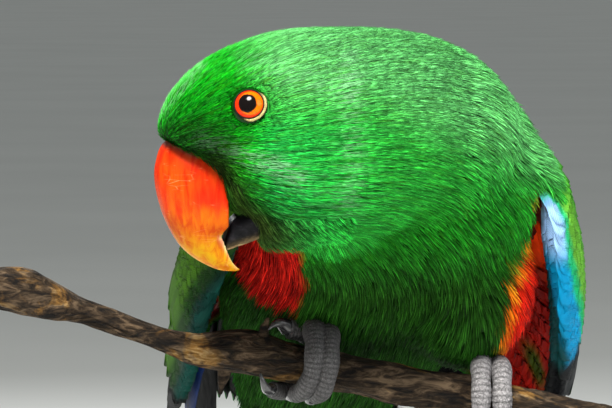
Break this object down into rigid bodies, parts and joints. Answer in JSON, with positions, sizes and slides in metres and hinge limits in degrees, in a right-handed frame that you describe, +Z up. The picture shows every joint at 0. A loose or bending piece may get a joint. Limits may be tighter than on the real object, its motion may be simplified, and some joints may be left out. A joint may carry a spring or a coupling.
{
  "type": "eclectus parrot model",
  "caption": "Life-size still model of a male eclectus parrot leaning down over a short cut branch, held up by a plain round base and two slim rods.",
  "frame": {"origin": "the middle of the stand base's underside", "axes": "+Z is up, -Y is towards the bird's left cheek, the side the picture shows, and +X is along the branch, to the right seen from -Y"},
  "size_m": [0.1996, 0.2351, 0.2263],
  "materials": {
    "feathers": "soft overlapping feathers in saturated green, with red flanks, a blue leading edge to the wing and dark flight feathers",
    "scales": "grey scaly skin, dry and finely wrinkled",
    "bill_orange": "smooth horn, red-orange at the base to yellow-orange at the tip, with fine pale growth lines",
    "bill_dark": "dark grey horn with a pale worn rim",
    "claw": "dark polished horn",
    "eye": "clear glossy eye with a black pupil in an orange-red iris",
    "bark": "dry brown-grey bark with peeled ochre patches and a splintered end",
    "stand_black": "matt dark paint",
    "rod_steel": "plain satin steel rod"
  },
  "bodies": {
    "root": {"claw_left_front_inner": "claw", "claw_left_front_outer": "claw", "claw_left_hind_inner": "claw", "claw_left_hind_outer": "claw", "claw_right_front_inner": "claw", "claw_right_front_outer": "claw", "claw_right_hind_inner": "claw", "claw_right_hind_outer": "claw", "eye_left": "eye", "eye_right": "eye", "foot_left": "scales", "foot_right": "scales", "head": "feathers", "leg_left": "feathers", "leg_right": "feathers", "lower_bill": "bill_dark", "neck": "feathers", "perch": "bark", "stand_base": "stand_black", "stand_rod_inner": "rod_steel", "stand_rod_outer": "rod_steel", "tail": "feathers", "torso": "feathers", "upper_bill": "bill_orange", "wing_left": "feathers", "wing_right": "feathers"}
  },
  "joints": []
}
